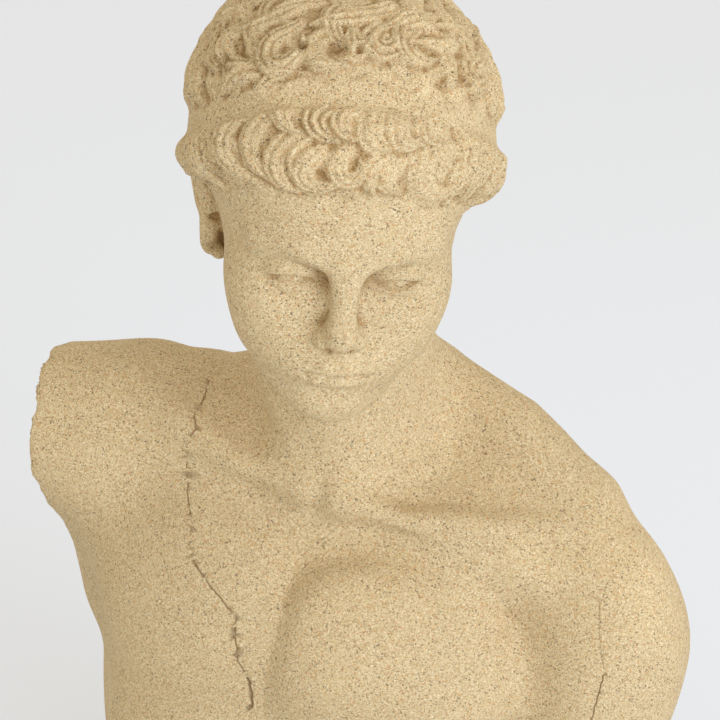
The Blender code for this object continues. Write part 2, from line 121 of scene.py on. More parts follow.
def through(z, heights, values):
    """A smooth curve through the values at the given rising heights."""
    heights, values = np.array(heights, float), np.array(values, float)
    i = np.clip(np.searchsorted(heights, z) - 1, 0, len(heights) - 2)
    step = heights[i + 1] - heights[i]
    t = np.clip((z - heights[i]) / step, 0, 1)
    slope = np.gradient(values, heights)
    return (
        (1 + 2 * t) * (1 - t) ** 2 * values[i]
        + t * (1 - t) ** 2 * step * slope[i]
        + t * t * (3 - 2 * t) * values[i + 1]
        + t * t * (t - 1) * step * slope[i + 1]
    )


def loft(p, stations, square=2.0):
    """A body through flat sections. A station is height, half width, front y, middle y and back y."""
    heights, widths, fronts, middles, backs = np.array(stations, float).T
    z = p[:, 2]
    middle = through(z, heights, middles)
    y = p[:, 1] - middle
    front = middle - through(z, heights, fronts)
    back = through(z, heights, backs) - middle
    depth = np.where(y < 0, front, back)
    width = through(z, heights, widths)
    near = (np.abs(p[:, 0] / width) ** square + np.abs(y / depth) ** square) ** (1 / square)
    near = np.maximum(near, 1e-3)
    return np.hypot(p[:, 0], y) * (1 - 1 / near)


# Head, in its own frame: the origin is midway between the ear holes and the face looks along -Y.
EAR_PLACE = (76, 5, -9)

# Stations of the face's front: height, half width, front y, middle y, back y
FACE = (
    (-99, 13, -82, -66, -54),
    (-92, 24, -91, -62, -42),
    (-82, 34, -95, -50, -20),
    (-68, 45, -94, -32, 10),
    (-52, 54, -96, -20, 30),
    (-35, 61, -96, -13, 40),
    (-15, 68, -93, -8, 50),
    (5, 70, -91, -5, 60),
    (25, 73, -94, -2, 60),
    (45, 75, -93, 0, 60),
    (70, 72, -82, 0, 60),
    (100, 54, -60, 2, 56),
)


def eye(p):
    """Eyeball and lids of the left eye, looking down."""
    q = p - np.array([31.0, -72.5, 10.0])
    r = length(q)
    out = np.arctan2(q[:, 0], -q[:, 1])
    up = np.arctan2(q[:, 2], np.hypot(q[:, 0], q[:, 1]))
    arch = np.clip(1 - (out / 1.15) ** 2, -1, 1)
    upper_edge = np.radians(-13 + 27 * arch + 2 * out)
    lower_edge = np.radians(-12 - 10 * arch + 3 * out)
    ball = r - 13.6
    upper = np.maximum(r - 18.3, (upper_edge - up) * r)
    lower = np.maximum(r - 17.3, (up - lower_edge) * r)
    return join(join(ball, upper, 0.8), lower, 0.8)


def face(p):
    """Skull, jaw and features, with no hair."""
    skull = ellipsoid(p, (-1, 14, 52), (84, 98, 84))
    front = np.maximum(loft(p, FACE, 2.2), np.maximum(-98 - p[:, 2], p[:, 2] - 96))
    d = join(skull, front, 18)
    q = p.copy()
    q[:, 0] = np.abs(q[:, 0])
    # Cheeks, jaw and brow
    d = join(d, ellipsoid(q, (40, -58, -14), (26, 27, 26)), 24)
    d = join(d, ellipsoid(q, (33, -60, -42), (24, 26, 26)), 22)
    d = join(d, rod(q, (20, -66, -76), (46, -14, -52), 15, 17), 18)
    d = join(d, bent_rod(q, ((6, -89, 23), (28, -85, 32), (50, -69, 27)), (7, 7, 6)), 14)
    # Eye sockets and eyes
    d = carve(d, ellipsoid(q, (33, -98, 10), (25, 16, 14)), 10)
    d = carve(d, ellipsoid(q, (15, -93, 9), (6, 8, 8)), 8)
    d = join(d, eye(q), 1.5)
    # Nose
    d = join(d, rod(p, (0, -90, 30), (0, -103, -14), 7.5, 8.0), 10)
    d = join(d, ellipsoid(p, (0, -103, -19), (9, 11, 9)), 8)
    d = join(d, ellipsoid(q, (10.5, -97, -24.5), (5.5, 9, 6)), 5)
    d = join(d, rod(p, (0, -104, -26), (0, -97, -34), 3.5, 5), 4)
    d = carve(d, ellipsoid(q, (5.8, -101.5, -31.5), (2.6, 5, 3.5)), 2.5)
    # Mouth
    d = join(d, ellipsoid(p, (0, -80, -50), (34, 22, 23)), 14)
    d = carve(d, rod(p, (0, -108, -35), (0, -107.5, -42), 2.5, 3.5), 5)
    d = join(d, bent_rod(q, ((0, -100.5, -47), (6.5, -101, -45.5), (22, -92, -50.5)), (4.0, 4.5, 2.2)), 3.5)
    d = join(d, bent_rod(q, ((0, -98.5, -58), (10, -97.5, -57), (20, -92, -53.5)), (6.2, 5.6, 2.4)), 3.5)
    d = carve(d, bent_rod(q, ((0, -107, -51.5), (12, -103.5, -51), (22, -96, -52)), (2.0, 1.9, 1.0)), 2.5)
    # Chin and the hollow over it
    d = join(d, ellipsoid(p, (0, -79, -80), (21, 19, 18)), 14)
    d = carve(d, ellipsoid(p, (0, -107, -67.5), (18, 9, 5)), 10)
    return d


def ear(q):
    """The left ear: plate, hollow, rim, lobe and the flap before its hole."""
    q = q - np.array(EAR_PLACE)
    plate = ellipsoid(q, (0, 0, 0), (8, 17, 30), (-16, 8, 20))
    hollow = ellipsoid(q, (9, -4, -2), (6, 10, 17), (-16, 8, 20))
    d = carve(plate, hollow, 4)
    rim = bent_rod(
        q,
        ((1, -14, 9), (6, -6, 27), (11, 8, 29), (11, 14, 16), (7, 9, -3), (-1, -4, -18), (-6, -12, -25)),
        (2.5, 3.2, 3.4, 3.4, 3.0, 3.3, 4.6),
    )
    d = join(d, rim, 3)
    return join(d, rod(q, (0, -17, -1), (0, -17, -9), 4), 3)


# Hair. The locks are laid out on a ball round the skull, whose pole is the crown's whorl.
HAIR_CENTRE = np.array([0.0, 16.0, 55.0])
HAIR_BALL = 100.0
WHORL_BACK = math.radians(50)
TO_WHORL = np.array([0.0, math.sin(WHORL_BACK), math.cos(WHORL_BACK)])
TO_FRINGE = np.array([0.0, -math.cos(WHORL_BACK), math.sin(WHORL_BACK)])

# Height of the fillet, the band that ties the hair, along the head from front to back
FILLET_ALONG = (-90, -62, -31, 0, 30, 60, 115)
FILLET_HEIGHTS = (165, 127, 86, 58, 40, 30, 22)

# Height of the lower edge of the hair, by degrees round the head from the middle of the forehead
HAIRLINE_ROUND = (0, 20, 40, 55, 68, 78, 88, 100, 112, 125, 145, 180)
HAIRLINE_HEIGHTS = (73, 67, 54, 42, 28, 14, 20, 26, 8, -16, -36, -50)

# How far the hair comes down over the left ear, and how far in that ear is set
COVERED_EAR = 12
LEFT_EAR_IN = 9

# Rows of locks: degrees up from the ball's middle, parts between locks, reach, half width, height
LOCK_ROWS = (
    (78, 15, 46, 7.5, 4.0),
    (62, 16, 54, 8.0, 4.6),
    (46, 16, 56, 8.5, 5.0),
    (31, 17, 56, 8.5, 5.5),
    (16, 17, 46, 8.5, 6.0),
    (-31, 16, 30, 8.0, 4.5),
    (-19, 18, 40, 9.5, 6.0),
    (-7, 19, 46, 10.0, 7.5),
)

# Locks that stand out over the forehead and above the fillet:
# degrees round, degrees up, reach, first heading, last heading, half width, height
FRONT_LOCKS = (
    (-46, -9, 66, -80, 44, 9, 5),
    (-31, -7, 79, -70, 56, 10, 7),
    (-22, -11, 66, -72, 50, 8, 6),
    (-11, -10, 53, -118, 72, 9, 7),
    (-20, -19, 48, -58, 57, 8, 7),
    (-14, -20, 42, -58, 59, 7, 6),
    (-12, -23, 48, -42, 105, 8, 7),
    (-4, -24, 40, -36, 204, 7, 7),
    (-5, -9, 42, -68, 70, 8, 7),
    (1, -10, 36, -68, 71, 7, 6),
    (6, -10, 40, -21, 103, 8, 6),
    (13, -10, 34, -18, 115, 8, 6),
    (11, -25, 30, -42, 20, 7, 6),
    (27, -17, 73, -18, 193, 9, 6),
    (22, -11, 30, -13, 119, 8, 5),
    (16, -27, 28, -30, 60, 7, 5),
    (37, -12, 40, 55, 86, 8, 5),
    (37, -20, 38, 82, 52, 8, 5),
    (-35, 22, 36, -30, 40, 8, 5),
    (-24, 21, 70, -48, 185, 9, 8),
    (-10, 18, 44, -46, 95, 9, 7),
    (-41, 24, 50, -70, 30, 8, 6),
    (-32, 3, 42, -83, -63, 8, 5),
    (12, 22, 54, -48, 200, 8, 6),
    (24, 22, 46, -40, 110, 8, 5),
    (32, 20, 38, 33, -52, 8, 5),
    (-4, 18, 26, 11, 151, 7, 6),
    (-19, -1, 38, -78, -74, 8, 4),
)

# The share of height left to the rows under those locks, how far locks swing to either side, in degrees,
# and the share of height worn off at the left front
UNDER_FRONT_LOCKS = 0.42
LOCK_SWING = 20.0
WEAR_OF_LEFT_FRONT = 0.12

# Drill holes in the curls: degrees round, degrees up, radius, depth
DRILL_HOLES = ((-20.5, 9.4, 3.0, 9), (-1, 9.2, 2.6, 7), (-10, 11, 8.0, 7), (-53, 8, 4.5, 5))


def hairline(p):
    """How far a point is above the lower edge of the hair, in parts. The hair covers the left ear's top."""
    round_head = np.degrees(np.arctan2(np.abs(p[:, 0]), 16 - p[:, 1]))
    edge = through(round_head, HAIRLINE_ROUND, HAIRLINE_HEIGHTS)
    over_ear = np.exp(-(((round_head - 80) / 20) ** 2)) * (p[:, 0] > 0)
    return p[:, 2] - edge + COVERED_EAR * over_ear


def above_fillet(p):
    return (p[:, 2] - through(p[:, 1], FILLET_ALONG, FILLET_HEIGHTS)) * 0.68


def hair_depth(p):
    """Thickness of the smooth hair: fuller at the sides, over the crown and in the roll below the fillet."""
    inside = np.clip(hairline(p) / 30 + 0.2, 0, 1)
    inside = inside * inside * (3 - 2 * inside)
    above = above_fillet(p)
    roll = np.exp(-(((above + 22) / 18) ** 2))
    crown = np.clip((above - 6) / 16, 0, 1)
    side = np.clip(np.abs(p[:, 0]) / 80, 0, 1) ** 2
    return inside * (7 + side + (1.5 + side) * roll + 3 * crown * crown * (3 - 2 * crown))


def chance(number):
    """A fixed scatter from 0 to 1."""
    return math.sin(number * 12.9898 + 4.1) * 43758.5453 % 1


def lock_path(round_pole, up, reach, heading, last_heading, swing=0.0):
    """A lock's points on the ball. A heading is in degrees from straight away from the whorl."""
    count = 10
    found = []
    for k in range(count):
        a, b = math.radians(round_pole), math.radians(up)
        flat = math.cos(a) * TO_FRINGE + math.sin(a) * np.array([1.0, 0.0, 0.0])
        found.append(HAIR_BALL * (math.cos(b) * flat + math.sin(b) * TO_WHORL))
        turn = heading + (last_heading - heading) * (k / (count - 2)) ** 1.4
        turn = math.radians(turn + swing * math.sin(math.tau * k / (count - 2)))
        stride = math.degrees(reach / (count - 1) / HAIR_BALL)
        up -= stride * math.cos(turn)
        round_pole += stride * math.sin(turn) / max(math.cos(math.radians(up)), 0.2)
    return np.array(found)


def unworn(round_pole):
    """The share of a lock's height that is left. The left front of the hair is worn the most."""
    return 1 - WEAR_OF_LEFT_FRONT * math.exp(-(((round_pole - 48) / 34) ** 2))


def all_locks():
    """Every lock as its path, half width and height."""
    found = []
    number = 0
    for up, spacing, reach, width, height in LOCK_ROWS:
        count = round(math.tau * HAIR_BALL * math.cos(math.radians(up)) / spacing)
        for k in range(count):
            number += 1
            a, b, c = chance(number), chance(number + 0.37), chance(number + 0.71)
            place = (k + 0.35 * a) * 360 / count - 180
            side = math.copysign(1, place + 12)
            front = max(0.0, 1 - abs(place) / 110)
            first = -70 * front - side * 25 * (1 - front) + 30 * (b - 0.5)
            last = 40 + 40 * front * c if up < 10 else math.copysign(50 + 45 * b, math.cos(number * 2.4))
            if up < 10 and front == 0:
                last = -side * 35
            under = UNDER_FRONT_LOCKS if -62 < place < 48 and up < 30 else 1
            swing = LOCK_SWING * (2 * chance(number + 0.9) - 1)
            path = lock_path(place, up + 6 * (c - 0.5), reach * (0.85 + 0.3 * b), first, last, swing)
            found.append((path, width, height * under * unworn(place)))
    for round_pole, up, reach, first, last, width, height in FRONT_LOCKS:
        number += 1
        swing = LOCK_SWING * (0.4 + chance(number))
        path = lock_path(round_pole, up, reach, first, last, -swing)
        found.append((path, width, height * unworn(round_pole)))
    return found


# Fewest and most strands in a lock, and how deep the grooves between them are, as a share of its height
STRANDS = (2.2, 3.8)
STRAND_DEPTH = (0.2, 0.5)

# The smooth hair's lumps and how far it is sunk, in parts, and the locks' rise over it
HAIR_UNEVEN = 1.3
HAIR_SUNK = 1.4
LOCK_RISE = 1.22


def locks(p):
    """How far the locks and their strands stand out from the smooth hair, in parts."""
    line = hairline(p)
    found = np.zeros(len(p))
    hairy = np.nonzero(line > -12)[0]
    q = p[hairy] - HAIR_CENTRE
    q = q * (HAIR_BALL / length(q))[:, None]
    raised = np.zeros(len(q))
    for number, (path, width, height) in enumerate(all_locks()):
        middle = path.mean(0)
        reach = length(path - middle).max() + width
        near = np.nonzero(np.einsum("ij,ij->i", q - middle, q - middle) < reach * reach)[0]
        if not len(near):
            continue
        starts, steps = path[:-1], np.diff(path, axis=0)
        gap = q[near][:, None, :] - starts
        t = np.clip(np.einsum("nkj,kj->nk", gap, steps) / np.einsum("kj,kj->k", steps, steps), 0, 1)
        aside = gap - t[:, :, None] * steps
        away = np.linalg.norm(aside, axis=2)
        along = (np.arange(len(steps)) + t) / len(steps)
        wide = width * (0.62 + 0.5 * np.sin(math.pi * along**0.8)) * (1 - 0.75 * along**4)
        across = away / wide
        nearest = across.argmin(1)
        rows = np.arange(len(near))
        across, along, aside = across[rows, nearest], along[rows, nearest], aside[rows, nearest]
        sideways = np.cross(steps[nearest], q[near])
        across = across * np.sign(np.einsum("ij,ij->i", sideways, aside))
        tall = LOCK_RISE * height * (0.30 + 0.70 * np.sin(math.pi * (0.08 + 0.62 * along)))
        strands = STRANDS[0] + (STRANDS[1] - STRANDS[0]) * chance(number + 0.53)
        groove = np.abs(np.sin(math.pi * strands * (across * 0.5 + 0.5) + 0.6 * np.sin(4 * along + number)))
        deep = STRAND_DEPTH[0] + (STRAND_DEPTH[1] - STRAND_DEPTH[0]) * chance(number + 0.19)
        rise = tall * np.clip(1 - across * across, 0, 1) ** 0.5
        rise = rise * (1 - deep * (1 - groove**0.85))
        raised[near] = np.maximum(raised[near], rise)
    for round_pole, up, radius, depth in DRILL_HOLES:
        mouth = lock_path(round_pole, up, 1, 0, 0)[0]
        raised -= depth * np.exp(-np.einsum("ij,ij->i", q - mouth, q - mouth) / radius**2)
    raised -= HAIR_SUNK
    x, y, z = (q / 11).T
    raised += HAIR_UNEVEN * np.sin(x + 1.7 * y + 0.5) * np.sin(1.3 * z - 0.8 * y + 1.1)
    raised += HAIR_UNEVEN / 2 * np.sin(2.3 * x - 1.9 * z) * np.sin(2.7 * y + 1.2 * z + 2)
    band = np.exp(-((above_fillet(p[hairy]) / 9) ** 4))
    found[hairy] = raised * (1 - band) * np.clip(line[hairy] / 20 + 0.6, 0, 1)
    return found


def head(p):
    q = p.copy()
    q[:, 0] = np.where(p[:, 0] > 0, p[:, 0] + LEFT_EAR_IN, -p[:, 0])
    return join(face(p) - hair_depth(p), ear(q), 5)


# Torso, in a frame of its own: the origin is the pit of the neck.
# Stations of the trunk: height, half width, front y, middle y, back y
TRUNK = (
    (-320, 118, -44, 44, 130),
    (-270, 126, -48, 45, 138),
    (-225, 132, -50, 48, 146),
    (-180, 140, -50, 52, 152),
    (-130, 146, -46, 56, 156),
    (-80, 148, -36, 60, 154),
    (-40, 136, -22, 62, 146),
    (-10, 108, -6, 64, 132),
    (15, 66, 12, 66, 112),
)


def chest_half(q, fullness, edge, slope, arch):
    """Muscles of one half, mirrored to the left: breast, flank, shoulder blade, shoulder top, collar bone."""
    d = ellipsoid(q, (74, -14 - fullness, -98), (84, 36, 66), (0, 12, 18))
    d = join(d, ellipsoid(q, (62, -24 - fullness, -122), (62, 26, 46), (0, 6, 12)), 24)
    d = join(d, ellipsoid(q, (127, 84, -170), (34, 54, 158), (0, 4, 0)), 44)
    d = join(d, ellipsoid(q, (84, 118, -72), (62, 34, 74), (0, 0, -12)), 44)
    d = join(d, ellipsoid(q, (92, 50, -16), (100, 60, 36), (0, 6, 0)), 30)
    d = join(d, bent_rod(q, ((34, 80, 52), (92, 72, 31 + arch), (150, 64, slope)), (26, 25, 24)), 44)
    d = carve(d, rod(q, (26, -34, -18), (104, -26, -12), 6, 5), edge)
    collar_bone = bent_rod(q, ((14, -13, -5), (60, -12, -2), (110, 4, 5), (160, 34, 4)), (8, 5, 4, 5))
    return join(d, collar_bone, edge + 4)


def broken(p, size):
    """A rough break's unevenness, in parts."""
    x, y, z = p.T / size
    return (
        np.sin(x * 1.3 + y * 2.1 + 0.4) * np.sin(z * 1.7 - y * 0.8 + 1.1)
        + 0.5 * np.sin(y * 4.3 - z * 2.9 + 2.0) * np.sin(x * 3.1 + z * 4.7)
    )


def left_arm(p):
    """Hangs at the side and is broken off below the shoulder."""
    d = ellipsoid(p, (190, 46, -72), (52, 56, 83), (0, -6, 0))
    d = join(d, rod(p, (194, 48, -70), (208, 50, -260), 46, 40), 22)
    rough = 3 * broken(p, 16) + 1.0 * broken(p, 5)
    return np.maximum(d, -205 - p[:, 2] + 0.12 * (p[:, 0] - 200) + rough)


def right_arm(p):
    """Held out to the side and broken off close to the shoulder."""
    d = ellipsoid(p, (-176, 48, -46), (74, 54, 52), (0, 10, 0))
    d = join(d, rod(p, (-170, 50, -48), (-330, 62, -72), 50, 46), 24)
    d = join(d, rod(p, (-142, 66, -150), (-180, 62, -72), 36, 36), 34)
    rough = 3 * broken(p, 18) + 1.1 * broken(p, 5)
    return np.maximum(d, -207 - p[:, 0] - 0.28 * (p[:, 2] + 50) + rough)


def torso(p):
    q = p.copy()
    q[:, 0] = np.abs(q[:, 0])
    d = np.maximum(loft(p, TRUNK, 2.2), p[:, 2] - 14)
    to_left = np.clip(p[:, 0] / 30 + 0.5, 0, 1)
    left, right = chest_half(q, 2, 12, 10, 9), chest_half(q, -6, 18, -14, -46)
    d = join(d, left * to_left + right * (1 - to_left), 18)
    d = join(d, left_arm(p), 24)
    d = join(d, right_arm(p), 30)
    return carve(d, rod(p, (0, 176, 0), (0, 164, -300), 14), 26)


def to_head(p):
    turn = turning(HEAD_BOW, HEAD_TILT, HEAD_TURN)
    return (p - np.array(EAR_AXIS)) @ turn


def to_torso(p):
    return p @ turning(0, TORSO_LEAN, 0)


def neck(p):
    """From the chest to the skull, in the pit's frame."""
    turn = turning(HEAD_BOW, HEAD_TILT, HEAD_TURN)
    base = np.array(EAR_AXIS) + turn @ np.array([0, 18, -24])
    d = rod(p, (0, 62, -20), base, 60, 54)
    for side in (-1, 1):
        mastoid = np.array(EAR_AXIS) + turn @ np.array([side * 62, 22, -28])
        d = join(d, rod(p, mastoid, (side * 12, -2, 6), 12, 8), 20)
    larynx = np.array(EAR_AXIS) + turn @ np.array([0, -40, -88])
    d = join(d, rod(p, larynx, (4, 8, 20), 18, 14), 30)
    return d


def form(p):
    """The whole figure's field, in parts from the pit of the neck."""
    d = join(torso(to_torso(p)), neck(p), 26)
    d = join(d, head(to_head(p)), 9)
    return np.maximum(d, -CUT_BELOW_PIT - SPARE_BELOW_CUT - p[:, 2])


def settle(points, steps, most):
    """The points moved onto the surface of the form with its hair, each step no further than the most."""
    tetrahedron = np.array([[1, 1, 1], [1, -1, -1], [-1, 1, -1], [-1, -1, 1]], float)
    reach = 0.5
    for _ in range(steps):
        values = [form(points + reach * corner) for corner in tetrahedron]
        slope = sum(v[:, None] * c for v, c in zip(values, tetrahedron)) / (4 * reach)
        d = sum(values) / 4 - locks(to_head(points))
        steep = np.maximum(np.einsum("ij,ij->i", slope, slope), 0.2)
        move = slope * (d / steep)[:, None]
        points = points - move * np.minimum(1, most / np.maximum(length(move), 1e-9))[:, None]
    return points


def points_of(mesh):
    found = np.empty(len(mesh.vertices) * 3)
    mesh.vertices.foreach_get("co", found)
    return found.reshape(-1, 3)


def set_points(mesh, points):
    mesh.vertices.foreach_set("co", points.ravel())
    mesh.update()


def evaluated(mesh, *modifiers):
    """The mesh after modifiers, each given as its kind and its settings."""
    made = bpy.data.objects.new("clay", mesh)
    bpy.context.scene.collection.objects.link(made)
    for kind, settings in modifiers:
        modifier = made.modifiers.new(kind, kind)
        for setting, value in settings.items():
            setattr(modifier, setting, value)
    graph = bpy.context.evaluated_depsgraph_get()
    result = bpy.data.meshes.new_from_object(made.evaluated_get(graph))
    bpy.data.objects.remove(made)
    return result


# Heights between which the lattice gets finer, and a table of stretched heights
NECK_LOW, NECK_HIGH = 30.0, 110.0
LEVELS = np.linspace(-320, 420, 1481)
FINER_AT = 1 + HEAD_FINER * np.clip((LEVELS - NECK_LOW) / (NECK_HIGH - NECK_LOW), 0, 1)
STEPS_UP = (FINER_AT[1:] + FINER_AT[:-1]) / 2 * np.diff(LEVELS)
STRETCHED = LEVELS[0] + np.concatenate([[0], np.cumsum(STEPS_UP)])


def remeshed(mesh, voxel):
    """The mesh made anew on a lattice that is finer in the head than in the chest."""
    points = points_of(mesh)
    finer = np.interp(points[:, 2], LEVELS, FINER_AT)
    height = np.interp(points[:, 2], LEVELS, STRETCHED)
    set_points(mesh, np.column_stack([points[:, 0] * finer, points[:, 1] * finer, height]))
    made = evaluated(mesh, ("REMESH", {"mode": "VOXEL", "voxel_size": voxel}))
    points = points_of(made)
    height = np.interp(points[:, 2], STRETCHED, LEVELS)
    finer = np.interp(height, LEVELS, FINER_AT)
    set_points(made, np.column_stack([points[:, 0] / finer, points[:, 1] / finer, height]))
    return made


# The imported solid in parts, its foot drawn down past the cut
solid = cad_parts["bust"]
rough = bmesh.new()
rough.from_mesh(solid.data)
bmesh.ops.remove_doubles(rough, verts=rough.verts, dist=1e-6)
for v in rough.verts:
    low = v.co.z < FOOT_HEIGHT + 1e-5
    v.co.x = v.co.x / PART + FOOT_MIDDLE[0]
    v.co.y = v.co.y / PART + FOOT_MIDDLE[1]
    v.co.z = (v.co.z - FOOT_HEIGHT) / PART - CUT_BELOW_PIT - (SPARE_BELOW_CUT if low else 0)
clay = bpy.data.meshes.new("clay")
rough.to_mesh(clay)
rough.free()

clay = remeshed(clay, FIRST_VOXEL)
set_points(clay, settle(points_of(clay), SETTLE_STEPS, FIRST_MOVE))
clay = remeshed(clay, LAST_VOXEL)
set_points(clay, settle(points_of(clay), SETTLE_STEPS, LAST_MOVE))
quads = len(clay.polygons)
clay = evaluated(clay, ("TRIANGULATE", {}), ("DECIMATE", {"ratio": BUST_TRIANGLES / (2 * quads)}))

# The bust in its place on the plinth, without stray shells, and its foot cut flat
bust = bmesh.new()
bust.from_mesh(clay)
for v in bust.verts:
    v.co.x = (v.co.x - FOOT_MIDDLE[0]) * PART
    v.co.y = (v.co.y - FOOT_MIDDLE[1]) * PART
    v.co.z = (v.co.z + CUT_BELOW_PIT) * PART + FOOT_HEIGHT
left = set(bust.verts)
shells = []
while left:
    shell = [left.pop()]
    for v in shell:
        for edge in v.link_edges:
            other = edge.other_vert(v)
            if other in left:
                left.discard(other)
                shell.append(other)
    shells.append(shell)
shells.sort(key=len)
bmesh.ops.delete(bust, geom=[v for shell in shells[:-1] for v in shell], context="VERTS")
whole = bust.verts[:] + bust.edges[:] + bust.faces[:]
bmesh.ops.bisect_plane(bust, geom=whole, plane_co=(0, 0, FOOT_HEIGHT), plane_no=(0, 0, 1), clear_inner=True)
bmesh.ops.holes_fill(bust, edges=[e for e in bust.edges if e.is_boundary])

# Cracks over the breast and the arm: half width and depth in metres, and points across and up in
# millimetres
CRACKS = (
    (
        0.0004,
        0.0005,
        (
            (-32, 252), (-29, 246), (-25, 240), (-28, 235), (-29, 228),
            (-27, 214), (-22, 205), (-20, 197), (-18, 190),
        ),
    ),
    (0.00042, 0.0006, ((-18, 190), (-10, 183), (-3, 177), (4, 170), (4, 161), (5, 150), (9, 142))),
    (0.0007, 0.001, ((9, 142), (10, 132), (10, 125), (10.5, 115), (12, 103), (12.5, 92))),
    (0.00025, 0.0002, ((151, 185), (153, 170.5), (156, 156.5))),
    (0.0004, 0.0005, ((156, 156.5), (154, 148.5), (152, 138.5), (150, 128))),
)

# Steps along a crack, its wander to either side, and the Y from which it is looked for on the stone
CRACK_STEP = 0.0016
CRACK_WANDER = 0.00035
IN_FRONT = -0.3

# The mesh is cut finer near a crack, time after time, until its edges are short enough. A crack's painted
# shade is darkest where it is as deep as the last value or deeper.
CRACK_CUTS = 4
CRACK_MARGIN = 0.0026
SHORT_EDGE = 0.00028
DARK_DEPTH = 0.0005
wall = BVHTree.FromBMesh(bust)
traces = []
for number, (half_width, depth, corners) in enumerate(CRACKS):
    trace = []
    for (x0, z0), (x1, z1) in zip(corners, corners[1:]):
        count = max(2, round(math.hypot(x1 - x0, z1 - z0) / 1000 / CRACK_STEP))
        for k in range(count):
            t = k / count
            aside = CRACK_WANDER * (2 * chance(number * 97 + len(trace)) - 1)
            start = Vector(((x0 + (x1 - x0) * t) / 1000 + aside, IN_FRONT, (z0 + (z1 - z0) * t) / 1000))
            found = wall.ray_cast(start, Vector((0, 1, 0)))[0]
            if found:
                trace.append(found)
    traces.append((np.array(trace), half_width, depth))


def from_trace(points, trace):
    """How far each point is from a crack's line."""
    starts, steps = trace[:-1], np.diff(trace, axis=0)
    nearest = np.full(len(points), np.inf)
    for start, step in zip(starts, steps):
        t = np.clip((points - start) @ step / (step @ step), 0, 1)
        nearest = np.minimum(nearest, length(points - start - t[:, None] * step))
    return nearest


for cut in range(CRACK_CUTS):
    points = np.array([v.co for v in bust.verts])
    close = np.zeros(len(points), bool)
    for trace, half_width, depth in traces:
        close |= from_trace(points, trace) < half_width + CRACK_MARGIN / 2**cut
    bust.verts.ensure_lookup_table()
    edges = [e for e in bust.edges if close[e.verts[0].index] and close[e.verts[1].index]]
    edges = [e for e in edges if e.calc_length() > SHORT_EDGE]
    bmesh.ops.subdivide_edges(bust, edges=edges, cuts=1)
    bust.verts.index_update()
    bmesh.ops.triangulate(bust, faces=[f for f in bust.faces if len(f.verts) > 3])
bust.normal_update()
points = np.array([v.co for v in bust.verts])
sunk = np.zeros(len(points))
for trace, half_width, depth in traces:
    sunk = np.maximum(sunk, depth * np.clip(1 - from_trace(points, trace) / half_width, 0, 1) ** 0.8)
cracked = bust.verts.layers.float.new("crack")
for v, low in zip(bust.verts, sunk):
    if low > 0:
        v.co -= v.normal * low
        v[cracked] = min(1, low / DARK_DEPTH)

bust_mesh = bpy.data.meshes.new("bust_cast")
bust.to_mesh(bust_mesh)
bust.free()


def neighbours_mean(values, ends):
    """Each point's value evened out with those of the points it shares an edge with."""
    first, second = ends[:, 0], ends[:, 1]
    size = len(values)
    total = [np.bincount(first, v[second], size) + np.bincount(second, v[first], size) for v in values.T]
    count = np.maximum(np.bincount(ends.ravel(), minlength=size), 1)
    return np.column_stack(total) / count[:, None]


# How sharply the surface is hollowed at each point, for the painted shade laid in the hollows. The value is 1
# where the hollow's radius is that given here, in metres.
HOLLOW_ROUNDS = 7
HOLLOW_RADIUS = 0.008
HOLLOW_MOST = 1.5
ends = np.empty(2 * len(bust_mesh.edges), np.int32)
bust_mesh.edges.foreach_get("vertices", ends)
ends = ends.reshape(-1, 2)
points = points_of(bust_mesh)
even = points
for _ in range(HOLLOW_ROUNDS):
    even = neighbours_mean(even, ends)
normals = np.empty(len(points) * 3)
bust_mesh.vertices.foreach_get("normal", normals)
deep = np.einsum("ij,ij->i", normals.reshape(-1, 3), even - points)
reach = length(points[ends[:, 0]] - points[ends[:, 1]])
reach = np.bincount(ends.ravel(), np.repeat(reach, 2)) / np.bincount(ends.ravel())
hollow = np.clip(HOLLOW_RADIUS * 2 * deep / (HOLLOW_ROUNDS * reach**2), 0, HOLLOW_MOST)
hollow = neighbours_mean(hollow[:, None], ends)[:, 0]
hollows = bust_mesh.attributes.new("hollow", "FLOAT", "POINT")
hollows.data.foreach_set("value", hollow)
bust_mesh.polygons.foreach_set("use_smooth", [True] * len(bust_mesh.polygons))
bust_cast = bpy.data.objects.new("bust_cast", bust_mesh)
bpy.context.scene.collection.objects.link(bust_cast)


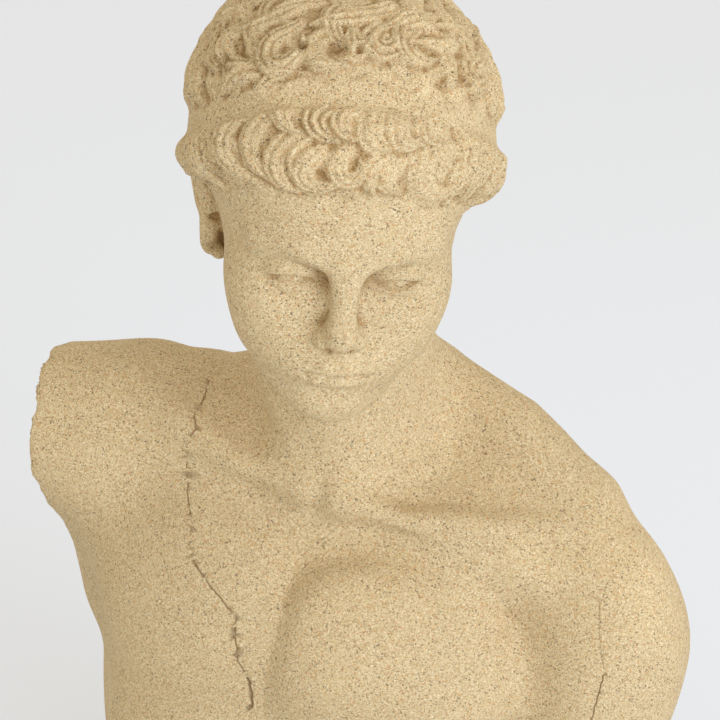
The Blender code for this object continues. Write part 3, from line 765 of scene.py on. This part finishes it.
class Wire:
    """A node's output. Arithmetic on it adds Math nodes to the material."""

    def __init__(self, tree, socket):
        self.tree = tree
        self.socket = socket

    def node(self, kind, settings, sockets, output=0):
        """Adds a node, sets it, gives its sockets values or links, and returns an output."""
        made = self.tree.nodes.new(kind)
        for name, value in settings.items():
            if name == "stops":
                ramp = made.color_ramp.elements
                while len(ramp) < len(value):
                    ramp.new(0.5)
                for element, (place, colour) in zip(ramp, value):
                    element.position = place
                    element.color = (*colour, 1)
            elif name == "interpolation":
                made.color_ramp.interpolation = value
            else:
                setattr(made, name, value)
        for name, value in sockets.items():
            if isinstance(value, Wire):
                self.tree.links.new(value.socket, made.inputs[name])
            else:
                made.inputs[name].default_value = value
        return Wire(self.tree, made.outputs[output])

    def maths(self, operation, first, second):
        return self.node("ShaderNodeMath", {"operation": operation}, {0: first, 1: second})

    def __add__(self, other):
        return self.maths("ADD", self, other)

    __radd__ = __add__

    def __sub__(self, other):
        return self.maths("SUBTRACT", self, other)

    def __rsub__(self, other):
        return self.maths("SUBTRACT", other, self)

    def __mul__(self, other):
        return self.maths("MULTIPLY", self, other)

    __rmul__ = __mul__

    def above(self, edge):
        return self.maths("GREATER_THAN", self, edge)

    def held(self):
        """The value kept between 0 and 1."""
        return self.node("ShaderNodeClamp", {}, {"Value": self})

    def mixed(self, factor, first, second, blend="MIX"):
        settings = {"data_type": "RGBA", "blend_type": blend}
        return self.node("ShaderNodeMix", settings, {0: factor, 6: first, 7: second}, 2)


# Stone: grains, flecks, clouds, patches and pits to the metre
GRAINS = 2700.0
FLECKS = 1600.0
CLOUDS = 14.0
PATCHES = 420.0
PITS = 900.0

# Grain colours, each from its share on, and the paste between the grains with its share of the colour
GRAIN_COLOURS = (
    (0.0, (0.17, 0.105, 0.045)),
    (0.05, (0.40, 0.265, 0.126)),
    (0.13, (0.58, 0.41, 0.205)),
    (0.38, (0.68, 0.52, 0.275)),
    (0.66, (0.76, 0.60, 0.345)),
    (0.87, (0.89, 0.76, 0.50)),
)
PASTE = (0.66, 0.515, 0.28)
PASTE_SHARE = 0.22

# Dark and rust flecks lie over and under these values, and painted shade lies in hollows past this sharpness
DARK_FLECK = (0.17, 0.12, 0.07, 1)
DARK_OVER = 0.972
RUST_FLECK = (0.60, 0.30, 0.10, 1)
RUST_UNDER = 0.055
PAINTED_HOLLOW_SHADE = (0.60, 0.48, 0.33, 1)
PAINTED_SHADE_OVER = 0.3
PAINTED_CRACK_SHADE = (0.20, 0.13, 0.06, 1)
BUMP_STRENGTH = 0.55
BUMP_HEIGHT = 0.00028
BUST_STONE = (1.0, 1.0, 1.0)


def cast_stone(name, warm):
    """Sand and cement: pale tan paste full of light, rust, brown and grey grains, with small pits."""
    made = bpy.data.materials.new(name)
    made.use_nodes = True
    tree = made.node_tree
    surface = tree.nodes["Principled BSDF"]
    start = Wire(tree, None)
    place = start.node("ShaderNodeTexCoord", {}, {}, "Object")
    cells = {"feature": "F1", "voronoi_dimensions": "3D"}
    grains = start.node("ShaderNodeTexVoronoi", cells, {"Vector": place, "Scale": GRAINS}, "Color")
    grain = start.node("ShaderNodeSeparateColor", {}, {"Color": grains}, 0)
    shade = start.node("ShaderNodeSeparateColor", {}, {"Color": grains}, 1)
    coarse = start.node("ShaderNodeTexVoronoi", cells, {"Vector": place, "Scale": FLECKS}, "Color")
    fleck = start.node("ShaderNodeSeparateColor", {}, {"Color": coarse}, 0)
    clouds = start.node("ShaderNodeTexNoise", {}, {"Vector": place, "Scale": CLOUDS, "Detail": 4.0}, 0)
    patches = start.node("ShaderNodeTexNoise", {}, {"Vector": place, "Scale": PATCHES, "Detail": 2.0}, 0)
    ramp = {"interpolation": "CONSTANT", "stops": GRAIN_COLOURS}
    body = start.node("ShaderNodeValToRGB", ramp, {"Fac": grain})
    colour = start.mixed(PASTE_SHARE, body, (*(c * w for c, w in zip(PASTE, warm)), 1))
    colour = start.mixed(fleck.above(DARK_OVER) * 0.8, colour, DARK_FLECK)
    colour = start.mixed((RUST_UNDER - fleck).above(0.0) * 0.7, colour, RUST_FLECK)
    tone = 0.66 + clouds * 0.28 + patches * 0.13
    grey = start.node("ShaderNodeCombineColor", {}, {0: tone, 1: tone, 2: tone})
    colour = start.mixed(1.0, colour, grey, "MULTIPLY")
    hollow = start.node("ShaderNodeAttribute", {"attribute_name": "hollow"}, {}, "Fac")
    # Painted shade: the colour is darkened in the hollows, where shade falls
    colour = start.mixed((hollow - PAINTED_SHADE_OVER).held() * 0.9, colour, PAINTED_HOLLOW_SHADE, "MULTIPLY")
    cracked = start.node("ShaderNodeAttribute", {"attribute_name": "crack"}, {}, "Fac")
    # Painted shade: the cracks are darkened by their depth, where shade falls inside them
    colour = start.mixed(cracked * 0.75, colour, PAINTED_CRACK_SHADE)
    tree.links.new(colour.socket, surface.inputs["Base Color"])
    rough = (0.78 + shade * 0.16).held()
    tree.links.new(rough.socket, surface.inputs["Roughness"])
    surface.inputs["Specular IOR Level"].default_value = 0.3
    pits = start.node("ShaderNodeTexNoise", {}, {"Vector": place, "Scale": PITS, "Detail": 2.0}, 0)
    height = shade * 0.5 + pits * 0.8 + patches * 0.6
    relief = {"Strength": BUMP_STRENGTH, "Distance": BUMP_HEIGHT, "Height": height}
    bump = start.node("ShaderNodeBump", {}, relief)
    tree.links.new(bump.socket, surface.inputs["Normal"])
    return made


bust_cast.data.materials.append(cast_stone("bust_stone", BUST_STONE))
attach(bust_cast, "root")
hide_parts("bust")

# Stand
# A low plinth cast in the same stone, which the bust's flat foot is bedded on. It was made in a plain
# box mould, so its faces are flat, its edges are all eased alike and here and there lightly chipped.
STAND_SIZE = np.array([0.204, 0.136, 0.045])
STAND_EDGE = 0.005
STAND_GRID = (72, 50, 20)
STAND_STONE = (0.985, 0.98, 0.965)

# Depth of the deepest chips and of the faces' swell, in metres, and how close together they come
STAND_CHIP = 0.0011
STAND_SWELL = 0.00025
CHIP_SCALE = 60
SWELL_SCALE = 18

half = STAND_SIZE / 2
block = bmesh.new()
bmesh.ops.create_cube(block, size=2)
for axis, count in enumerate(STAND_GRID):
    for k in range(1, count):
        share = -1 + 2 * k / count
        cut = Vector((0, 0, 0))
        # Rows of points gather towards the edges
        cut[axis] = share * (1.5 - 0.5 * share * share)
        normal = Vector((0, 0, 0))
        normal[axis] = 1
        whole = block.verts[:] + block.edges[:] + block.faces[:]
        bmesh.ops.bisect_plane(block, geom=whole, plane_co=cut, plane_no=normal)
for v in block.verts:
    spot = np.array(v.co) * half
    core = np.clip(spot, -(half - STAND_EDGE), half - STAND_EDGE)
    out = spot - core
    sides = (np.abs(out) > 1e-7).sum()
    reach = STAND_EDGE + STAND_SWELL * noise.noise(Vector(spot * SWELL_SCALE))
    if sides > 1:
        rough = noise.fractal(Vector(spot * CHIP_SCALE), 1.0, 2.0, 4)
        reach -= STAND_CHIP * min(1, max(0, rough - 0.25) * 3)
    spot = core + out / np.linalg.norm(out) * reach
    spot[2] = max(spot[2] + half[2], 0)
    v.co = Vector(spot)
stand_mesh = bpy.data.meshes.new("stand_cast")
block.to_mesh(stand_mesh)
block.free()
stand_mesh.polygons.foreach_set("use_smooth", [True] * len(stand_mesh.polygons))
stand_cast = bpy.data.objects.new("stand_cast", stand_mesh)
bpy.context.scene.collection.objects.link(stand_cast)
stand_cast.data.materials.append(cast_stone("stand_stone", STAND_STONE))
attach(stand_cast, "root")
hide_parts("stand")

# Studio
# A pale matt floor under the bust, an even warm sky, a broad cool light from the front right, and a camera
# above the bust's eye level, at the photograph's angle.
FLOOR = 6.0
PAPER = (0.86, 0.905, 0.99, 1)
SKY = (1.0, 0.95, 0.86, 1)
SKY_STRENGTH = 0.88
BUST_MIDDLE = (0.03, -0.02, 0.30)
KEY_PLACE = (2.00, -1.48, 0.68)
KEY_WIDTH = 1.5
KEY_POWER = 43.0
KEY_COLOUR = (0.75, 0.825, 1.0)
CAMERA_PLACE = (0.4033, -1.0083, 0.6573)
CAMERA_AIM = (0.0470, -0.0293, 0.2781)
CAMERA_LENS = 135.0
CAMERA_REACH = (0.01, 50.0)

floor_mesh = bpy.data.meshes.new("floor")
corners = [(-FLOOR, -FLOOR, 0), (FLOOR, -FLOOR, 0), (FLOOR, FLOOR, 0), (-FLOOR, FLOOR, 0)]
floor_mesh.from_pydata(corners, [], [(0, 1, 2, 3)])
floor = bpy.data.objects.new("floor", floor_mesh)
bpy.context.scene.collection.objects.link(floor)
paper = bpy.data.materials.new("paper")
paper.use_nodes = True
paper.node_tree.nodes["Principled BSDF"].inputs["Base Color"].default_value = PAPER
paper.node_tree.nodes["Principled BSDF"].inputs["Roughness"].default_value = 1.0
floor_mesh.materials.append(paper)

sky = bpy.data.worlds.new("studio")
sky.use_nodes = True
sky.node_tree.nodes["Background"].inputs["Color"].default_value = SKY
sky.node_tree.nodes["Background"].inputs["Strength"].default_value = SKY_STRENGTH
bpy.context.scene.world = sky
bpy.context.scene.view_settings.view_transform = "Standard"


def facing(thing, place, aim):
    """Stands a light or a camera at a place and turns it to the point that it aims at."""
    holder = bpy.data.objects.new(thing.name, thing)
    holder.location = place
    holder.rotation_euler = (Vector(aim) - Vector(place)).to_track_quat("-Z", "Y").to_euler()
    bpy.context.scene.collection.objects.link(holder)
    return holder


key = bpy.data.lights.new("key", "AREA")
key.size = KEY_WIDTH
key.energy = KEY_POWER
key.color = KEY_COLOUR
facing(key, KEY_PLACE, BUST_MIDDLE)

lens = bpy.data.cameras.new("camera")
lens.lens = CAMERA_LENS
lens.sensor_width = 36.0
lens.clip_start, lens.clip_end = CAMERA_REACH
bpy.context.scene.camera = facing(lens, CAMERA_PLACE, CAMERA_AIM)
